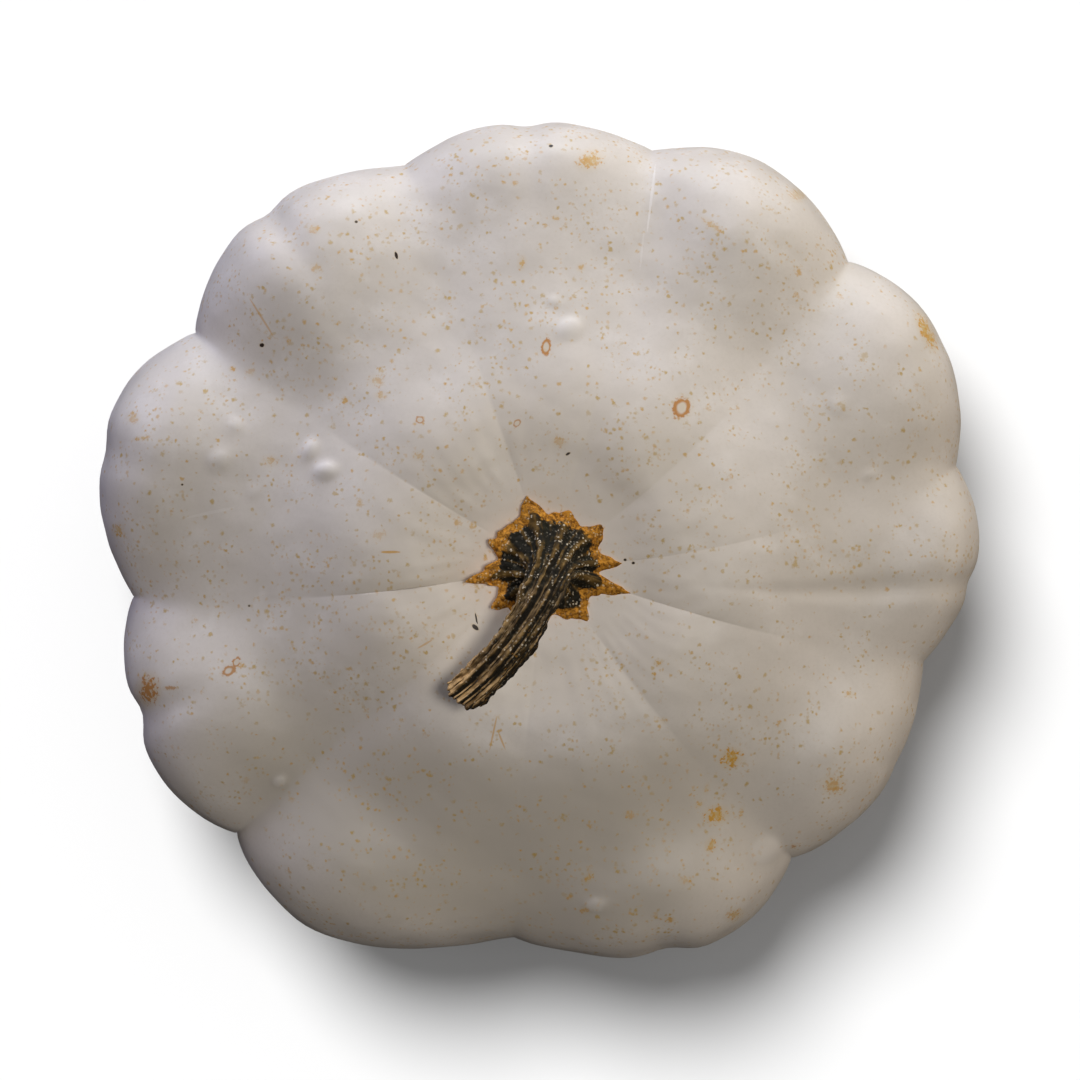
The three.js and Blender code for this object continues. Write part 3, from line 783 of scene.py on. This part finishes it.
def tube_rings(t, degrees, ragged, small_rib, shares, length):
    """The rings from the foot's edge to the cut end, and how far each of their points is cork."""
    middle = height_at_stalk(np.zeros(1), np.zeros(1))[0]
    flesh = height_at_stalk(degrees % 360, ragged)
    sideways = np.array([-STALK_AXIS[3, 1], STALK_AXIS[3, 0], 0])
    sideways /= np.linalg.norm(sideways)
    side_angle = math.atan2(sideways[1], sideways[0])
    rings = []
    corks = []
    for share, centre, tangent in zip(shares, *bezier(STALK_AXIS, shares)):
        side = sideways - tangent * (sideways @ tangent)
        side /= np.linalg.norm(side)
        across = np.cross(tangent, side)
        flare = math.exp(-share * length / FOOT_HEIGHT)
        point_flare = math.exp(-share * length / FOOT_POINT_HEIGHT)
        furrow = RIB_DEPTH * np.sin(np.pi * t) ** RIB_SHARPNESS * (1 + flare) * (1 - point_flare)
        furrow -= SMALL_RIB_HEIGHT * small_rib * (1 - point_flare)
        tube = lerp(STALK_RADIUS, STALK_END_RADIUS, share) - furrow
        radius = tube + (FOOT_RADIUS - tube) * flare + (ragged - FOOT_RADIUS) * point_flare
        angle = np.radians(degrees + STALK_TWIST * share) - side_angle
        ring = centre + np.outer(radius * np.cos(angle), side) + np.outer(radius * np.sin(angle), across)
        slant = CUT_SLANT * np.sin(angle) - CUT_SKEW * np.cos(angle)
        ring += np.outer(slant * share**CUT_FADE, tangent)
        ring[:, 2] += lerp(middle, flesh, flare) + FOOT_GAP + FOOT_EDGE
        rings.append(ring)
        corks.append(smoothstep(radius - CORK_BEND * (ragged - FOOT_RADIUS), *CORK_SPAN))
    return rings, np.concatenate(corks)


def dress_stalk(mesh, points, rib, cork, along, length, shift):
    """Lifts beads, fibres, grit and cork from the stalk, and stores what its colours follow."""
    row, column = np.divmod(np.arange(len(along)), STALK_COLUMNS)
    round_angle = 2 * np.pi * column / STALK_COLUMNS
    spun = FIBRE_RADIUS * np.column_stack([np.cos(round_angle), np.sin(round_angle), along / FIBRE_RADIUS])
    inner = points[1:-1]
    lift = BEADS[0] * waves(inner, BEADS[1]) * rib
    lift += FIBRES[0] * waves(spun * FIBRE_STRETCH, FIBRES[1])
    lift += GRIT[0] * waves(inner, GRIT[1])
    lift += CORK_GRAIN[0] * waves(inner, CORK_GRAIN[1]) * cork
    lift *= (row >= UNDER_COUNT + SMOOTH_ROWS) & (row < UNDER_COUNT + STALK_ROWS)
    moved = points.copy()
    moved[1:-1] += normals_of(mesh)[1:-1] * lift[:, None]
    move_points(mesh, moved - shift)

    def whole(values):
        """The values with those of the points before and after the rings."""
        return np.concatenate([values[:1], values, values[-1:]])

    normals = normals_of(mesh)[1:-1]
    # The upper left side is painted lighter, partly as painted light; the lower right side darker, as
    # painted shade.
    facing = normals[:, 0] * PAINTED_LIGHT_SIDE[0] + normals[:, 1] * PAINTED_LIGHT_SIDE[1]
    straw_and_painted_light = 0.35 * smoothstep(along, *STRAW_START)
    straw_and_painted_light += 0.65 * smoothstep(along, length - STRAW_TIP[0], length - STRAW_TIP[1])
    side_painted_shade = 0.9 * smoothstep(-facing, -0.1, 0.5) * smoothstep(along, *SIDE_SHADE_START)
    set_attribute(mesh, "rib", whole(rib))
    set_attribute(mesh, "cork", whole(cork))
    set_attribute(mesh, "cut", whole((row >= UNDER_COUNT + STALK_ROWS).astype(float)))
    set_attribute(mesh, "straw_and_painted_light", whole(smoothstep(facing, -0.2, 0.5) * straw_and_painted_light * (1 - cork)))
    set_attribute(mesh, "side_painted_shade", whole(side_painted_shade))
    set_attribute(mesh, "grain", whole(spun * GRAIN_STRETCH))


def make_stalk(material, shift):
    """The stalk's finely built surface, from the underside of its foot to its cut end."""
    steps = np.arange(STALK_COLUMNS) / STALK_STEPS_PER_RIB
    i = steps.astype(int)
    t = steps % 1
    after = (i + 1) % len(FOOT_POINTS)
    degrees = lerp(FOOT_POINTS[i, 0], FOOT_POINTS[after, 0] + np.where(after == 0, 360, 0), t)
    outline = foot_radius(np.where(t < 0.5, i, after), np.minimum(t, 1 - t))
    circle = np.column_stack([np.cos(np.radians(degrees)), np.sin(np.radians(degrees))])
    rim = np.column_stack([outline[:, None] * circle, 0 * t])
    ragged = outline + RAGGED_EDGE[0] * waves(rim, RAGGED_EDGE[1])
    small_rib = np.exp(-(((t - SMALL_RIB_PLACE) / SMALL_RIB_WIDTH) ** 2))
    rings = []
    for share in UNDER_SHARES:
        radius = share * ragged
        height = height_at_stalk(degrees % 360, radius) + FOOT_GAP
        rings.append(np.column_stack([radius[:, None] * circle, height]))

    shares = np.linspace(0, 1, STALK_ROWS) ** ROW_CROWDING
    fine, _ = bezier(STALK_AXIS, np.linspace(0, 1, AXIS_SAMPLES))
    length = np.linalg.norm(np.diff(fine, axis=0), axis=1).sum()
    tube, tube_cork = tube_rings(t, degrees, ragged, small_rib, shares, length)
    middle = height_at_stalk(np.zeros(1), np.zeros(1))[0]
    start = np.array([[0, 0, middle + FOOT_GAP]])
    centre, tangent = bezier(STALK_AXIS, np.ones(1))
    end = centre + (0, 0, middle + FOOT_GAP + FOOT_EDGE)
    face = [lerp(end, tube[-1], share) - tangent * CUT_FACE_DEPTH for share in CUT_FACE_SHARES]
    rings += tube + face
    points = np.vstack([start, *rings, end - tangent * CUT_MIDDLE_DEPTH])
    faces = [corners[::-1] for corners in grid_faces(len(rings), STALK_COLUMNS)]
    stalk = make_object("squash_stalk", points, faces, material)

    rib = np.maximum(1 - np.sin(np.pi * t) ** RIB_PAINT_SHARPNESS, SMALL_RIB_PAINT * small_rib)
    ends = np.ones(UNDER_COUNT * STALK_COLUMNS), np.zeros(CUT_COUNT * STALK_COLUMNS)
    cork = np.concatenate([ends[0], tube_cork, ends[1]])
    along = np.concatenate([np.zeros(UNDER_COUNT), shares * length, np.full(CUT_COUNT, length)])
    along = np.repeat(along, STALK_COLUMNS)
    dress_stalk(stalk.data, points, np.tile(rib, len(rings)), cork, along, length, shift)
    return stalk


def make_floor():
    """A plain white floor that sends no light back to the fruit."""
    corners = np.array([(-1, -1, 0), (1, -1, 0), (1, 1, 0), (-1, 1, 0)], dtype=float)
    material, tree, surface = new_material("white_floor")
    surface.inputs["Base Color"].default_value = (*FLOOR_WHITE, 1)
    surface.inputs["Roughness"].default_value = 1
    surface.inputs["Specular IOR Level"].default_value = 0
    floor = make_object("floor", corners * FLOOR_HALF_WIDTH, [(0, 1, 2, 3)], material)
    floor.visible_diffuse = False
    floor.visible_glossy = False
    return floor


# The fruit's lamps: compass direction from +Y and height (degrees), size (metres), and strength in
# red, green and blue.
LAMPS = [
    (0, 8, 0.8, (0.362, 0.396, 0.432)),
    (90, 76, 0.28, (0.216, 0.212, 0.203)),
    (30, 8, 0.8, (0.222, 0.206, 0.190)),
    (90, 8, 0.6, (0.070, 0.061, 0.050)),
    (122, 8, 0.8, (0.060, 0.056, 0.052)),
    (318, 8, 0.8, (0.165, 0.172, 0.260)),
    (240, 8, 0.8, (0.050, 0.048, 0.051)),
]
LAMP_WATTS = 20.6
LOW_LAMP = 45  # degrees: the stalk casts no shadow of a lamp below this height
LAMP_DISTANCE = 1.2
SUN_DISTANCE = 2  # metres, like the other lamps' distance
AIM_HEIGHT = 0.045  # the lamps shine at this point over the middle of the floor
FLOOR_SUN_STRENGTH = 3.1
FLOOR_SUN_TURN = -28  # degrees from +Y, clockwise
FLOOR_SUN_HEIGHT = 63
FLOOR_SUN_ANGLE = 26  # how wide it is in the sky
FLOOR_SKY_STRENGTH = 0.75
FLOOR_SKY_ANGLE = 150
WORLD_STRENGTH = 0.02
FLOOR_HALF_WIDTH = 1500  # mm
FLOOR_WHITE = (0.9, 0.9, 0.9)


def link_light(light, receivers, blockers):
    """Lets a lamp light only the receivers, and only the blockers cast its shadow."""
    for name, things in (("receiver", receivers), ("blocker", blockers)):
        group = bpy.data.collections.new(f"{light.name}_{name}s")
        for thing in things:
            group.objects.link(thing)
        setattr(light.light_linking, f"{name}_collection", group)


def direction(turn, height):
    """The unit vector towards a compass direction from +Y and a height, in degrees."""
    turn, height = math.radians(turn), math.radians(height)
    return Vector((
        math.sin(turn) * math.cos(height),
        math.cos(turn) * math.cos(height),
        math.sin(height),
    ))


def make_light(name, kind, towards, distance):
    """A lamp that shines from a direction at the middle of the fruit."""
    light = bpy.data.objects.new(name, bpy.data.lights.new(name, kind))
    bpy.context.scene.collection.objects.link(light)
    light.location = towards * distance + Vector((0, 0, AIM_HEIGHT))
    light.rotation_euler = (-towards).to_track_quat("-Z", "Y").to_euler()
    return light


def light_scene(fruit_things, floor):
    """Soft lamps for the fruit, and a wide sun for the floor's soft shadow."""
    for number, (turn, height, size, strength) in enumerate(LAMPS):
        light = make_light(f"lamp_{number}", "AREA", direction(turn, height), LAMP_DISTANCE)
        light.data.shape = "DISK"
        light.data.size = size
        light.data.energy = LAMP_WATTS * max(strength)
        light.data.color = [value / max(strength) for value in strength]
        link_light(light, fruit_things, fruit_things if height > LOW_LAMP else fruit_things[:1])
    sun = make_light("floor_sun", "SUN", direction(FLOOR_SUN_TURN, FLOOR_SUN_HEIGHT), SUN_DISTANCE)
    sun.data.energy = FLOOR_SUN_STRENGTH
    sun.data.angle = math.radians(FLOOR_SUN_ANGLE)
    link_light(sun, [floor], fruit_things)
    sky = make_light("floor_sky", "SUN", direction(0, 90), SUN_DISTANCE)
    sky.data.energy = FLOOR_SKY_STRENGTH
    sky.data.angle = math.radians(FLOOR_SKY_ANGLE)
    link_light(sky, [floor], fruit_things)
    world = bpy.data.worlds.new("studio")
    world.use_nodes = True
    background = world.node_tree.nodes["Background"]
    background.inputs["Color"].default_value = (1, 1, 1, 1)
    background.inputs["Strength"].default_value = WORLD_STRENGTH
    bpy.context.scene.world = world


def make_camera():
    """The camera straight above the fruit."""
    camera = bpy.data.objects.new("camera", bpy.data.cameras.new("camera"))
    bpy.context.scene.collection.objects.link(camera)
    camera.location = (0, 0, (RIM_HEIGHT + CAMERA_DISTANCE) * MM)
    camera.data.sensor_width = SENSOR_WIDTH
    frame_width = IMAGE_PIXELS * OUTLINE_WIDTH / OUTLINE_PIXELS
    camera.data.lens = SENSOR_WIDTH * CAMERA_DISTANCE / frame_width
    camera.data.clip_start = 0.01
    bpy.context.scene.camera = camera


fruit, shift = make_fruit(make_rind())
stalk = make_stalk(make_bark(), shift)
for piece, node, slot in ((fruit, "fruit", "rind"), (stalk, "stalk", "stalk")):
    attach(piece, "root")
    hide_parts(node)
floor = make_floor()
light_scene([fruit, stalk], floor)
make_camera()
bpy.context.scene.view_settings.view_transform = "Standard"
